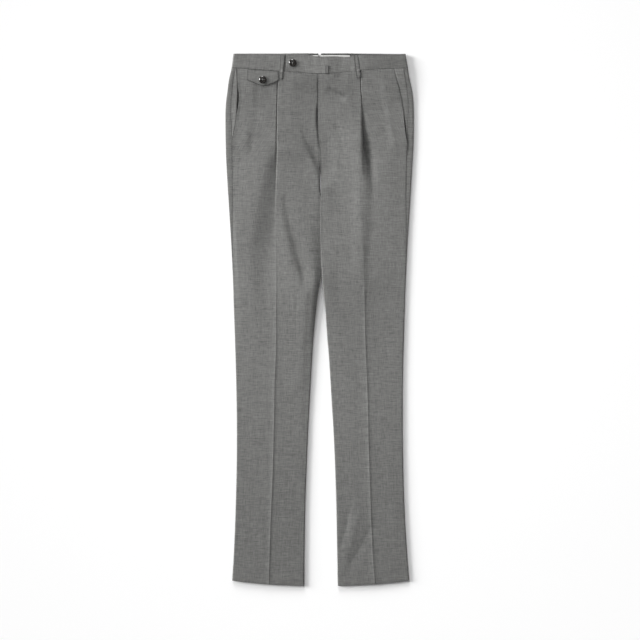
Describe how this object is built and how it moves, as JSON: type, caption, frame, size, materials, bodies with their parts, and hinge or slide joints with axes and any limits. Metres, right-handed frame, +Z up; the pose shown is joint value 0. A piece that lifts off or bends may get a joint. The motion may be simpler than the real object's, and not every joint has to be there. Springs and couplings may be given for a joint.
{
  "type": "pleated dress trousers",
  "caption": "Pleated wool dress trousers laid flat with the front up: slant pockets, pointed coin-pocket flap, rounded waistband tab, belt loops and pressed creases.",
  "frame": {"origin": "middle of the garment's outline, on the surface that it lies on", "axes": "+Y from the hems to the waist, +X to the wearer's left, +Z up from the surface, so the front faces +Z"},
  "size_m": [0.3961, 1.119, 0.0155],
  "materials": {
    "wool": "matte mid-grey wool suiting, fine two-tone weave",
    "wool_inside": "matte grey wool, in shade",
    "lining": "pale smooth lining twill",
    "horn": "polished dark horn"
  },
  "bodies": {
    "root": {"front_right": "wool", "front_left": "wool", "back_right": "wool", "back_left": "wool", "waistband_right": "wool", "waistband_left": "wool", "belt_loop_front_right": "wool", "belt_loop_front_left": "wool", "belt_loop_back_right": "wool", "belt_loop_back_left": "wool", "prong_loop": "wool", "coin_flap": "wool", "pocket_facing_right": "wool_inside", "pocket_facing_left": "wool_inside", "fly_underlap": "wool_inside", "band_lining_right": "lining", "band_lining_left": "lining", "button_tab": "horn", "button_flap": "horn"}
  },
  "joints": []
}
